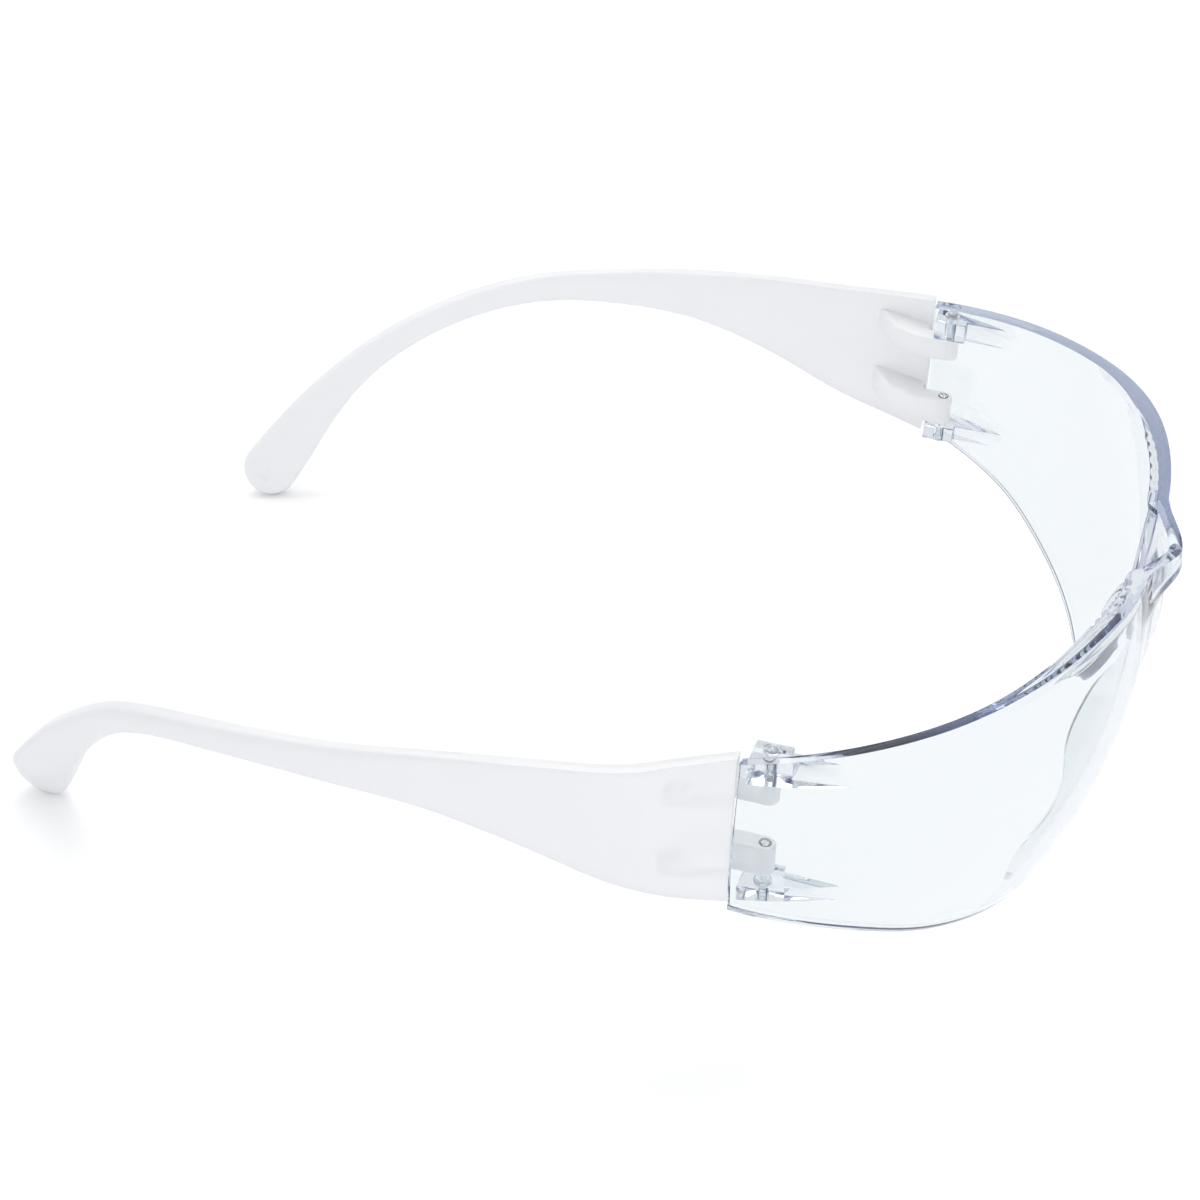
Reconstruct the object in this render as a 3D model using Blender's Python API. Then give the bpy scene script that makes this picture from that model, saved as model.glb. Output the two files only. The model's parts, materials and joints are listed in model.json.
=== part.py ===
"""Wraparound safety glasses: a one-piece clear lens shield with two folding temples on plastic hinge pins.

Every piece is drawn as it is worn: X across the face, +X towards the wearer's left, -Y forwards, +Z up,
with the hinge edge of the shield at Y = 0. The wearing_stance empty then leans the finished glasses onto a
table. Lengths below are millimetres, and each mesh is scaled to metres once it is complete.
"""

from math import acos, asin, cos, pi, radians, sin

import bmesh
import bpy
from mathutils import Matrix, Vector

MM = 0.001
RIGHT, LEFT = -1.0, 1.0  # sign of X on the wearer's right and left

# Shield: each half is wrapped round an upright axis and bows gently from top to bottom.
WRAP_RADIUS = 59.2
BOW_RADIUS = 82.0
WIDEST_HEIGHT = -2.8
AXIS_X = 10.4
AXIS_Y = 10.7
LEAN = 0.13  # how far each millimetre down brings the wrap axis back
WALL = 2.0
LEDGE_WIDTH = 3.3
LEDGE_HEIGHT = 2.0
LEDGE_STEP = 0.3
LEDGE_ENDS = 0.62  # share of the way from bridge to hinge edge
LEDGE_FULL = 0.25
LEDGE_STARTS = 0.12
BROW_LINE = ((0.0, 20.5), (0.14, 22.2), (0.36, 23.6), (0.70, 20.4), (1.0, 16.9))
LOWER_LINE = (
    (0.0, 6.8),
    (0.06, 5.8),
    (0.12, 1.2),
    (0.17, -10.4),
    (0.22, -20.6),
    (0.265, -25.8),
    (0.335, -27.0),
    (0.42, -26.1),
    (0.63, -20.8),
    (0.80, -15.0),
    (1.0, -9.6),
)
NOSE_SHARE = 0.28  # the bridge side of this share holds the nose cut-out
NOSE_COLUMNS = 16
LENS_COLUMNS = 20
SHIELD_ROWS = 10
SLOPE_STEP = 0.002  # how far apart two points on the face are when its slope is read
WELD = 1e-4

# Bridge: a bulging front wall, an open pocket behind it and a straight bar that closes the pocket.
BULGE_HALF_WIDTH = 12.0
BULGE_LOW = 1.2
BULGE_HIGH = 3.6
BULGE_STARTS = 13.0
BULGE_BLEND = 4.5
BAR_HALF_LENGTH = 14.2
BAR_FRONT = 1.2
BAR_BACK = 3.0
BAR_BOTTOM = 12.2
BAR_TOP = 20.4
FLOOR_THICKNESS = 1.4
FLOOR_HALF_WIDTH = 11.0
FLOOR_STEPS = 12

# Nose pads: flanges that run back from the edge of the nose cut-out.
PAD_THICKNESS = 1.6
PAD_SPLAY = 0.22
PAD_DEPTH = ((0.05, 1.8), (0.09, 3.2), (0.125, 6.2), (0.155, 7.0), (0.20, 3.8), (0.26, 3.8), (0.36, 2.4))
PAD_STATIONS = 26
PAD_INSET = 0.15  # how far up from the cut-out edge a pad starts
PAD_OVERLAP = 0.5  # how far behind the front face a pad starts

# Hinges: two lugs on the shield and two tongues on the temple share one upright pin line.
HINGE_X = 62.2
HINGE_Y = -3.6
LUG_REACH = 2.1  # how far inboard of the pin line a lug stands
LUG_FRONT = -6.4
LUG_REAR = -0.9
LUG_REAR_SHARE = 0.99
LUG_STEPS = 8
GUSSET_SHARE = 0.80
GUSSET_REACH = 0.9
UPPER_LUG = (12.9, 16.6)
LOWER_LUG = (-8.1, -5.3)
UPPER_TONGUE = (8.4, 12.6)
LOWER_TONGUE = (-5.0, 0.2)
TONGUE_RADIUS = 1.6
TONGUE_FLANK_Y = 2.0
TONGUE_ROOT_X = 67.2
TONGUE_ROOT_Y = 11.0
TONGUE_ROOT_DEPTH = 1.6  # how far into the bowed panel the root reaches
TONGUE_FILLET_X = 4.6
TONGUE_FILLET_Y = 6.6
TONGUE_STEPS = 12
PIN_RADIUS = 0.75
PIN_HOLE_RADIUS = 0.95
PIN_HEAD_RADIUS = 1.3
PIN_HEAD_HEIGHT = 0.7
PIN_HEAD_SKIRT = 0.25  # straight side of the head under its dome
PIN_STEPS = 20
DOME_STEPS = 4
BORE_SPARE = 1.0  # how far a hole's cutter stands out of what it cuts
GAP = 0.3

# Temples: (distance back, distance out, height, half depth, thickness) down the middle of the arm.
TEMPLE_LINE = (
    (0.3, 65.7, 4.2, 13.8, 2.2),
    (13.6, 69.5, 3.4, 11.6, 2.3),
    (28.6, 71.3, 5.1, 8.1, 2.4),
    (44.6, 72.2, 5.9, 5.1, 2.5),
    (59.0, 72.2, 4.9, 3.6, 2.6),
    (72.8, 70.6, 3.3, 2.8, 2.8),
    (82.5, 68.1, 1.0, 2.5, 3.0),
    (92.6, 64.0, -2.8, 2.4, 3.2),
    (101.9, 59.4, -8.2, 2.6, 3.3),
    (108.6, 56.5, -14.0, 3.0, 3.4),
    (115.2, 52.8, -21.7, 3.9, 3.5),
    (120.0, 50.2, -29.0, 4.8, 3.6),
    (124.0, 47.6, -35.2, 5.3, 3.4),
)
TEMPLE_STATIONS = 40
TIP_STATIONS = 8
TEMPLE_ROWS = 6
PANEL_BOW = 1.0
PANEL_BOW_LENGTH = 40.0
TURN_FADE = 12.0  # length over which the panel starts to turn with the arm
RUN_STEP = 0.5
TIP_TURN = 84.0  # degrees of the tip's round that are drawn
TIP_THINNING = 0.45
SHARP_ANGLE = 35.0

# Table stance: the tilt is found by halving between these angles, in degrees.
LEAST_TILT = -15.0
MOST_TILT = 25.0
TILT_HALVINGS = 40


def clear_scene():
    for old in list(bpy.data.objects):
        bpy.data.objects.remove(old, do_unlink=True)


def plastic(name, colour, roughness, alpha):
    """A moulded plastic finish; alpha below one shows the piece as see-through."""
    material = bpy.data.materials.new(name)
    material.use_nodes = True
    shader = material.node_tree.nodes["Principled BSDF"]
    shader.inputs["Base Color"].default_value = (*colour, 1.0)
    shader.inputs["Metallic"].default_value = 0.0
    shader.inputs["Roughness"].default_value = roughness
    shader.inputs["Alpha"].default_value = alpha
    material.diffuse_color = (*colour, alpha)
    return material


def smooth_step(value):
    held = min(1.0, max(0.0, value))
    return held * held * (3.0 - 2.0 * held)


def along(points, place):
    """The values at one place on the smooth curve through points, whose first number is the place."""
    last = len(points) - 1
    segment = 0
    while segment < last - 1 and place > points[segment + 1][0]:
        segment += 1

    def slope(index, column):
        before = points[max(index - 1, 0)]
        after = points[min(index + 1, last)]
        return (after[column] - before[column]) / (after[0] - before[0])

    start, end = points[segment], points[segment + 1]
    span = end[0] - start[0]
    t = min(1.0, max(0.0, (place - start[0]) / span))
    values = []
    for column in range(1, len(start)):
        rise = end[column] - start[column]
        leave = slope(segment, column) * span
        arrive = slope(segment + 1, column) * span
        bend = (3.0 * rise - 2.0 * leave - arrive) * t**2 + (leave + arrive - 2.0 * rise) * t**3
        values.append(start[column] + leave * t + bend)
    return values


def new_object(name, mesh, material, parent):
    made = bpy.data.objects.new(name, mesh)
    made.data.materials.append(material)
    made.parent = parent
    bpy.context.scene.collection.objects.link(made)
    return made


def finished_mesh(name, bm, side, origin):
    """Turns a shape drawn on the -X side into a metre-scaled mesh on the given side, about its own origin."""
    if side == LEFT:
        bmesh.ops.scale(bm, vec=(-1.0, 1.0, 1.0), verts=bm.verts)
    bmesh.ops.translate(bm, vec=-origin, verts=bm.verts)
    bmesh.ops.scale(bm, vec=(MM, MM, MM), verts=bm.verts)
    bmesh.ops.recalc_face_normals(bm, faces=bm.faces)
    mesh = bpy.data.meshes.new(name)
    bm.to_mesh(mesh)
    bm.free()
    mesh.shade_smooth()
    mesh.set_sharp_from_angle(angle=radians(SHARP_ANGLE))
    return mesh


def combine(target, bm, operation, side=RIGHT, origin=Vector()):
    """Joins the shape to, or cuts it from, the target with a Boolean modifier on a hidden helper."""
    name = f"{target.name}_{operation.lower()}_{len(target.modifiers)}"
    helper = bpy.data.objects.new(name, finished_mesh(name, bm, side, origin))
    helper.parent = target
    helper.hide_render = True
    helper.display_type = "WIRE"
    bpy.context.scene.collection.objects.link(helper)
    boolean = target.modifiers.new(name, "BOOLEAN")
    boolean.operation = operation
    boolean.object = helper
    boolean.solver = "EXACT"


def slab(columns, rows):
    """A flat block with corners at 0 and 1, divided across its face and one cell thick."""
    bm = bmesh.new()
    bmesh.ops.create_grid(bm, x_segments=columns, y_segments=rows, size=0.5)
    bmesh.ops.translate(bm, vec=(0.5, 0.5, 0.0), verts=bm.verts)
    raised = bmesh.ops.extrude_face_region(bm, geom=bm.faces[:])
    top = [item for item in raised["geom"] if isinstance(item, bmesh.types.BMVert)]
    bmesh.ops.translate(bm, vec=(0.0, 0.0, 1.0), verts=top)
    return bm


def prism(outline, bottom, top):
    """An upright prism over a plan outline."""
    bm = bmesh.new()
    face = bm.faces.new([bm.verts.new((x, y, bottom)) for x, y in outline])
    raised = bmesh.ops.extrude_face_region(bm, geom=[face])
    lifted = [item for item in raised["geom"] if isinstance(item, bmesh.types.BMVert)]
    bmesh.ops.translate(bm, vec=(0.0, 0.0, top - bottom), verts=lifted)
    return bm


def upright_cylinder(x, y, bottom, top, radius, segments=24):
    bm = bmesh.new()
    bmesh.ops.create_cone(
        bm,
        cap_ends=True,
        segments=segments,
        radius1=radius,
        radius2=radius,
        depth=top - bottom,
        matrix=Matrix.Translation((x, y, (top + bottom) / 2.0)),
    )
    return bm


def bridge_bulge(x, height):
    """How far the bridge stands forward of the lens faces beside it."""
    spread = max(0.0, 1.0 - abs(x) / BULGE_HALF_WIDTH)
    size = BULGE_LOW + (BULGE_HIGH - BULGE_LOW) * smooth_step((height - BULGE_STARTS) / BULGE_BLEND)
    return size * smooth_step(spread)


def wrap(height):
    """Radius of the wrap, and how far back its axis is, at a height."""
    radius = WRAP_RADIUS - (height - WIDEST_HEIGHT) ** 2 / (2.0 * BOW_RADIUS)
    return radius, AXIS_Y + LEAN * (WIDEST_HEIGHT - height)


def shield_face(share, height):
    """A point on the front of the right half; share runs from 0 at the middle to 1 at the hinge edge."""
    radius, axis_y = wrap(height)
    first = -asin(AXIS_X / radius)
    last = acos(axis_y / radius)
    angle = first + share * (last - first)
    x = -AXIS_X - radius * sin(angle)
    y = axis_y - radius * cos(max(angle, 0.0))
    return Vector((x, y - bridge_bulge(x, height), height))


def shield_inward(share, height):
    """Unit direction from the front face into the wall."""
    back = max(share - SLOPE_STEP, 0.0)
    on = min(share + SLOPE_STEP, 1.0)
    across = shield_face(on, height) - shield_face(back, height)
    up = shield_face(share, height + SLOPE_STEP) - shield_face(share, height - SLOPE_STEP)
    inward = across.cross(up).normalized()
    if inward.y < 0.0:
        inward.negate()
    if share <= 0.0:
        inward.x = 0.0
    if share >= 1.0:
        inward.y = 0.0
    return inward.normalized()


def column_share(place):
    """Spreads the grid columns, closer together beside the nose."""
    turn = NOSE_COLUMNS / (NOSE_COLUMNS + LENS_COLUMNS)
    if place < turn:
        return NOSE_SHARE * place / turn
    return NOSE_SHARE + (1.0 - NOSE_SHARE) * (place - turn) / (1.0 - turn)


def build_shield(material, parent):
    bm = slab(NOSE_COLUMNS + LENS_COLUMNS, SHIELD_ROWS)
    for vert in bm.verts:
        share = column_share(vert.co.x)
        row = round(vert.co.y * SHIELD_ROWS)
        low = along(LOWER_LINE, share)[0]
        high = along(BROW_LINE, share)[0]
        ledge_foot = high - LEDGE_HEIGHT
        if row == SHIELD_ROWS:
            height = high
        elif row == SHIELD_ROWS - 1:
            height = ledge_foot
        else:
            height = low + (ledge_foot - LEDGE_STEP - low) * row / (SHIELD_ROWS - 2)
        thickness = WALL
        if row >= SHIELD_ROWS - 1 and share > LEDGE_STARTS:
            widening = smooth_step((LEDGE_ENDS - share) / (LEDGE_ENDS - LEDGE_FULL))
            thickness += (LEDGE_WIDTH - WALL) * widening
        inward = shield_inward(share, height)
        vert.co = shield_face(share, height) + inward * thickness * vert.co.z
        if share <= 0.0:
            vert.co.x = 0.0
    middle = [face for face in bm.faces if all(vert.co.x == 0.0 for vert in face.verts)]
    bmesh.ops.delete(bm, geom=middle, context="FACES_ONLY")
    bmesh.ops.mirror(bm, geom=bm.verts[:] + bm.edges[:] + bm.faces[:], axis="X", merge_dist=WELD)
    return new_object("lens_shield", finished_mesh("lens_shield", bm, RIGHT, Vector()), material, parent)


def bridge_bar():
    """The straight bar behind the pocket, leaning with the lens."""
    bm = slab(1, 1)
    for vert in bm.verts:
        height = BAR_BOTTOM + (BAR_TOP - BAR_BOTTOM) * vert.co.y
        radius, axis_y = wrap(height)
        depth = BAR_FRONT + (BAR_BACK - BAR_FRONT) * vert.co.z
        vert.co = Vector(((2.0 * vert.co.x - 1.0) * BAR_HALF_LENGTH, axis_y - radius + depth, height))
    return bm


def pocket_floor():
    """The floor of the pocket, from the middle of the front wall to the middle of the bar."""
    radius, axis_y = wrap(BAR_BOTTOM)
    face_y = axis_y - radius
    outline = []
    for index in range(FLOOR_STEPS + 1):
        x = FLOOR_HALF_WIDTH * (2.0 * index / FLOOR_STEPS - 1.0)
        outline.append((x, face_y - bridge_bulge(x, BAR_BOTTOM) + WALL / 2.0))
    back = face_y + (BAR_FRONT + BAR_BACK) / 2.0
    outline += [(FLOOR_HALF_WIDTH, back), (-FLOOR_HALF_WIDTH, back)]
    return prism(outline, BAR_BOTTOM, BAR_BOTTOM + FLOOR_THICKNESS)


def nose_pad():
    """The right nose pad: a strip swept along the edge of the nose cut-out."""
    bm = slab(PAD_STATIONS, 1)
    first, last = PAD_DEPTH[0][0], PAD_DEPTH[-1][0]
    rearward = Vector((-PAD_SPLAY, 1.0, 0.0)).normalized()

    def edge(share):
        return shield_face(share, along(LOWER_LINE, share)[0])

    for vert in bm.verts:
        share = first + (last - first) * vert.co.x
        tangent = (edge(share + 2.0 * SLOPE_STEP) - edge(share - 2.0 * SLOPE_STEP)).normalized()
        into_lens = tangent.cross(rearward).normalized()
        if into_lens.z < 0.0:
            into_lens.negate()
        depth = along(PAD_DEPTH, share)[0]
        start = edge(share) + into_lens * PAD_INSET + rearward * PAD_OVERLAP
        vert.co = start + rearward * depth * vert.co.y + into_lens * PAD_THICKNESS * vert.co.z
    return bm


def lug(span):
    """A hinge lug: a block round the pin line with a gusset that runs forward along the wall."""
    bottom, top = span
    middle = (bottom + top) / 2.0
    outline = []
    for index in range(LUG_STEPS + 1):
        share = LUG_REAR_SHARE + (GUSSET_SHARE - LUG_REAR_SHARE) * index / LUG_STEPS
        point = shield_face(share, middle) + shield_inward(share, middle) * WALL / 2.0
        outline.append((point.x, point.y))
    outline.append((-HINGE_X + GUSSET_REACH, LUG_FRONT))
    outline.append((-HINGE_X + LUG_REACH, LUG_FRONT))
    outline.append((-HINGE_X + LUG_REACH, LUG_REAR))
    return prism(outline, bottom, top)


def tongue(span):
    """A temple tongue: rounded round the pin line and thickened where it meets the side panel."""
    bottom, top = span
    outline = []
    for index in range(TONGUE_STEPS + 1):
        angle = pi + pi * index / TONGUE_STEPS
        x = -HINGE_X + TONGUE_RADIUS * cos(angle)
        y = HINGE_Y + TONGUE_RADIUS * sin(angle)
        outline.append((x, y))
    outline.append((-HINGE_X + TONGUE_RADIUS, TONGUE_FLANK_Y))
    outline.append((-TONGUE_ROOT_X + TONGUE_FILLET_X, TONGUE_FILLET_Y))
    outline.append((-TONGUE_ROOT_X - TONGUE_ROOT_DEPTH, TONGUE_ROOT_Y))
    outline.append((-TONGUE_ROOT_X, 2.0 * GAP))
    outline.append((-HINGE_X - TONGUE_RADIUS, 2.0 * GAP))
    return prism(outline, bottom, top)


def bore(span):
    """The cutter for a pin's clearance hole through a lug or a tongue."""
    bottom, top = span
    return upright_cylinder(-HINGE_X, HINGE_Y, bottom - BORE_SPARE, top + BORE_SPARE, PIN_HOLE_RADIUS)


def temple_lengths():
    """Distance along the arm to each point of its middle line."""
    lengths = [0.0]
    for before, after in zip(TEMPLE_LINE, TEMPLE_LINE[1:]):
        lengths.append(lengths[-1] + (Vector(after[:3]) - Vector(before[:3])).length)
    return lengths


def build_temple(name, side, material, parent):
    lengths = temple_lengths()
    line = [(length, *point) for length, point in zip(lengths, TEMPLE_LINE)]
    tip_radius = TEMPLE_LINE[-1][3]
    end = lengths[-1]
    stations = TEMPLE_STATIONS + TIP_STATIONS
    bm = slab(stations, TEMPLE_ROWS)
    for vert in bm.verts:
        station = round(vert.co.x * stations)
        if station <= TEMPLE_STATIONS:
            place = end * station / TEMPLE_STATIONS
            beyond, narrowing = 0.0, 1.0
        else:
            turn = radians(TIP_TURN) * (station - TEMPLE_STATIONS) / TIP_STATIONS
            place = end
            beyond, narrowing = tip_radius * sin(turn), cos(turn)
        back, out, height, half_depth, thickness = along(line, place)
        ahead = along(line, min(place + RUN_STEP, end))
        behind = along(line, max(place - RUN_STEP, 0.0))
        run = Vector((behind[1] - ahead[1], ahead[0] - behind[0], ahead[2] - behind[2])).normalized()
        upright = Vector((0.0, -run.z, run.y)).normalized()
        fade = smooth_step(place / TURN_FADE)
        upright = Vector((0.0, 0.0, 1.0)).lerp(upright, fade).normalized()
        outward = run.cross(upright).normalized()
        if outward.x > 0.0:
            outward.negate()
        across = 2.0 * vert.co.y - 1.0
        bow = PANEL_BOW * (1.0 - across**2) * (1.0 - smooth_step(place / PANEL_BOW_LENGTH))
        centre = Vector((-out, back, height)) + run * beyond
        if place <= 0.0:
            outward = Vector((-1.0, 0.0, 0.0))
        taper = thickness * (1.0 - TIP_THINNING * (1.0 - narrowing))
        through = bow + taper * (0.5 - vert.co.z)
        vert.co = centre + upright * half_depth * narrowing * across + outward * through
    origin = Vector((side * HINGE_X, HINGE_Y, 0.0))
    temple = new_object(name, finished_mesh(name, bm, side, origin), material, parent)
    temple.location = origin * MM
    for span in (UPPER_TONGUE, LOWER_TONGUE):
        combine(temple, tongue(span), "UNION", side, origin)
        combine(temple, bore(span), "DIFFERENCE", side, origin)
    return temple


def build_pin(name, side, bottom, top, head_at_top, material, parent):
    """A hinge pin with a round head outside its lug."""
    bm = bmesh.new()
    length = top - bottom
    profile = [(0.0, 0.0), (PIN_RADIUS, 0.0), (PIN_RADIUS, length), (PIN_HEAD_RADIUS, length)]
    dome = PIN_HEAD_HEIGHT - PIN_HEAD_SKIRT
    for index in range(DOME_STEPS + 1):
        turn = pi / 2.0 * index / DOME_STEPS
        profile.append((PIN_HEAD_RADIUS * cos(turn), length + PIN_HEAD_SKIRT + dome * sin(turn)))
    profile[-1] = (0.0, length + PIN_HEAD_HEIGHT)
    verts = [bm.verts.new((radius, 0.0, height)) for radius, height in profile]
    edges = [bm.edges.new(pair) for pair in zip(verts, verts[1:])]
    bmesh.ops.spin(
        bm,
        geom=verts + edges,
        cent=(0.0, 0.0, 0.0),
        axis=(0.0, 0.0, 1.0),
        angle=2.0 * pi,
        steps=PIN_STEPS,
        use_merge=True,
    )
    bmesh.ops.remove_doubles(bm, verts=bm.verts, dist=WELD)
    if not head_at_top:
        bmesh.ops.scale(bm, vec=(1.0, 1.0, -1.0), verts=bm.verts)
        bmesh.ops.translate(bm, vec=(0.0, 0.0, length), verts=bm.verts)
    pin = new_object(name, finished_mesh(name, bm, RIGHT, Vector()), material, parent)
    pin.location = Vector((side * HINGE_X, HINGE_Y, bottom)) * MM
    return pin


def build_pins(side_name, side, material, parent):
    upper = (UPPER_TONGUE[0], UPPER_LUG[1] + GAP)
    lower = (LOWER_LUG[0] - GAP, LOWER_TONGUE[1])
    build_pin(f"{side_name}_upper_hinge_pin", side, *upper, True, material, parent)
    build_pin(f"{side_name}_lower_hinge_pin", side, *lower, False, material, parent)


def world_points(objects):
    """Every corner of the finished pieces, as the viewport shows them."""
    bpy.context.view_layer.update()
    graph = bpy.context.evaluated_depsgraph_get()
    found = []
    for piece in objects:
        shown = piece.evaluated_get(graph)
        found += [shown.matrix_world @ vert.co for vert in shown.data.vertices]
    return found


def lowest_at(points, tilt):
    return min(point.y * sin(tilt) + point.z * cos(tilt) for point in points)


def rest_tilt(front, rear):
    """The turn about X that brings the lowest points of both sets level."""
    low, high = radians(LEAST_TILT), radians(MOST_TILT)
    for _ in range(TILT_HALVINGS):
        middle = (low + high) / 2.0
        if lowest_at(rear, middle) < lowest_at(front, middle):
            low = middle
        else:
            high = middle
    return (low + high) / 2.0


def stand_on_table(stance, shield, temples):
    """Leans the glasses onto lens edge and temple tips, centred over the origin."""
    stance.rotation_euler.x = rest_tilt(world_points([shield]), world_points(temples))
    points = world_points([shield, *temples])
    front = min(point.y for point in points)
    rear = max(point.y for point in points)
    stance.location = (0.0, -(front + rear) / 2.0, -min(point.z for point in points))


def main():
    clear_scene()
    clear_lens = plastic("clear_polycarbonate", (0.86, 0.91, 0.95), 0.04, 0.30)
    milky = plastic("milky_polycarbonate", (0.84, 0.86, 0.87), 0.25, 0.75)
    pin_plastic = plastic("hinge_pin_plastic", (0.80, 0.84, 0.88), 0.15, 0.60)
    stance = bpy.data.objects.new("wearing_stance", None)
    bpy.context.scene.collection.objects.link(stance)
    shield = build_shield(clear_lens, stance)
    combine(shield, bridge_bar(), "UNION")
    combine(shield, pocket_floor(), "UNION")
    temples = []
    for side_name, side in (("right", RIGHT), ("left", LEFT)):
        combine(shield, nose_pad(), "UNION", side)
        for span in (UPPER_LUG, LOWER_LUG):
            combine(shield, lug(span), "UNION", side)
            combine(shield, bore(span), "DIFFERENCE", side)
        temples.append(build_temple(f"{side_name}_temple", side, milky, stance))
        build_pins(side_name, side, pin_plastic, stance)
    stand_on_table(stance, shield, temples)


main()
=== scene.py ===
"""Wraparound safety glasses: a one-piece clear lens shield with two milky folding temples.

The pieces are drawn in millimetres as they are worn: X across the face, +X towards the wearer's left, -Y
forwards and +Z up, with the hinge edge of the shield at Y = 0. WORN_TO_TABLE then sets them down on the
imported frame.
"""

import json
from math import acos, asin, atan2, cos, pi, radians, sin, sqrt

import bmesh
import bpy
from bpy.props import FloatProperty, FloatVectorProperty, PointerProperty
from mathutils import Matrix, Vector

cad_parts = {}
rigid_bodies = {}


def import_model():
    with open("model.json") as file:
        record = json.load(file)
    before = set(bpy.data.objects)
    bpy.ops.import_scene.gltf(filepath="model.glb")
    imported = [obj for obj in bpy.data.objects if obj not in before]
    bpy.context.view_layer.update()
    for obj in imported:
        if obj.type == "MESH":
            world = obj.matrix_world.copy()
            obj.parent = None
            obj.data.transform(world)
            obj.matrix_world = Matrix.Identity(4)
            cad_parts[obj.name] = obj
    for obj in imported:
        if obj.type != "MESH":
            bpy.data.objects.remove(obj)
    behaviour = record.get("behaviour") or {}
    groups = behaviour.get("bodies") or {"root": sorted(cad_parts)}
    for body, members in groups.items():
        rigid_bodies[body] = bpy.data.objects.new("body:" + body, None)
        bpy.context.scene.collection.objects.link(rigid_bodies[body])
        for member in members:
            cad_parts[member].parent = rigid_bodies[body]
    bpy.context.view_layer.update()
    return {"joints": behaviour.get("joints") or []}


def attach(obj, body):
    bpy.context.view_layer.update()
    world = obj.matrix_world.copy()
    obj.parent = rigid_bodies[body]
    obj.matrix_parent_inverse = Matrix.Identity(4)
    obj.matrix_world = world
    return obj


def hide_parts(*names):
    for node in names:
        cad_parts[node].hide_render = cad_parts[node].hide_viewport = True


bl_info = {
    "name": "Wraparound Safety Glasses",
    "version": (1, 0, 0),
    "blender": (4, 5, 0),
    "location": "View3D > Sidebar > Safety Glasses",
    "description": "Builds clear wraparound safety glasses round their packed frame",
    "category": "Add Mesh",
}

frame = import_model()

MM = 0.001
RIGHT, LEFT = -1.0, 1.0  # sign of X on the wearer's right and left
SIDES = (("right", RIGHT), ("left", LEFT))

# The worn position, read back from the right hinge.
HINGE_Y = -3.6
RIGHT_FOLD = next(joint for joint in frame["joints"] if joint["name"] == "right_temple_fold")
HINGE_X = -RIGHT_FOLD["pos_m"][0] / MM
REST_TILT = atan2(RIGHT_FOLD["axis"][1], -RIGHT_FOLD["axis"][2])
LEAN_TURN = Matrix.Rotation(REST_TILT, 4, "X")
HINGE_PLACE = Vector(RIGHT_FOLD["pos_m"]) / MM
SET_DOWN = Matrix.Translation(HINGE_PLACE - LEAN_TURN @ Vector((-HINGE_X, HINGE_Y, 0.0)))
WORN_TO_TABLE = Matrix.Scale(MM, 4) @ SET_DOWN @ LEAN_TURN

# Shield: each half is wrapped round an upright axis and bows gently from top to bottom.
WRAP_RADIUS = 59.2
BOW_RADIUS = 82.0
WIDEST_HEIGHT = -2.8
AXIS_X = 10.4
AXIS_Y = 10.7
LEAN = 0.13
LEDGE_ENDS = 0.62
LEDGE_FULL = 0.25
LEDGE_STARTS = 0.12
LEDGE_EASING = 0.9  # height over which the ledge grows out of the wall
LEDGE_LEAD_IN = 0.03
BROW_LINE = ((0.0, 20.5), (0.14, 22.2), (0.36, 23.6), (0.70, 20.4), (1.0, 16.9))
LOWER_LINE = (
    (0.0, 6.8),
    (0.06, 5.8),
    (0.12, 1.2),
    (0.17, -10.4),
    (0.22, -20.6),
    (0.265, -25.8),
    (0.335, -27.0),
    (0.42, -26.1),
    (0.63, -20.8),
    (0.80, -15.0),
    (1.0, -9.6),
)
NOSE_SHARE = 0.28
NOSE_COLUMNS = 44
LENS_COLUMNS = 66
WALL_ROWS = 30
BROW_ROWS = 12
BROW_BAND = 3.6  # height of the closely divided band under the brow
SLOPE_STEP = 0.002  # how far apart two points on the face are when its slope is read
SCALLOP_SHARES = (0.145, 0.178, 0.213, 0.247, 0.279, 0.309)  # notches in the ledge's rear beside the bridge
SCALLOP_RADIUS = 1.1
SCALLOP_DEPTH = 0.35

# Bridge: a bulging front wall, an open pocket behind it and a straight bar that closes the pocket.
BULGE_HALF_WIDTH = 12.0
BULGE_LOW = 1.2
BULGE_HIGH = 3.6
BULGE_STARTS = 13.0
BULGE_BLEND = 4.5
BAR_HALF_LENGTH = 14.2
BAR_FRONT = 1.2
BAR_BACK = 3.0
BAR_BOTTOM = 12.2
BAR_TOP = 20.4
FLOOR_THICKNESS = 1.4
FLOOR_HALF_WIDTH = 11.0
FLOOR_STEPS = 32
BAR_COLUMNS = 24
BAR_ROWS = 8
BAR_ROUNDING = 0.3

# Nose pads: flanges that run back from the edge of the nose cut-out.
PAD_THICKNESS = 1.6
PAD_SPLAY = 0.22
PAD_INSET = 0.15  # how far up from the cut-out edge a pad starts
PAD_OVERLAP = 0.5  # how far behind the front face a pad starts
PAD_COLUMNS = 90
PAD_ROWS = 10
PAD_ROUNDING = 0.45
PAD_DEPTH = ((0.05, 1.8), (0.09, 3.2), (0.125, 6.2), (0.155, 7.0), (0.20, 3.8), (0.26, 3.8), (0.36, 2.4))

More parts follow.
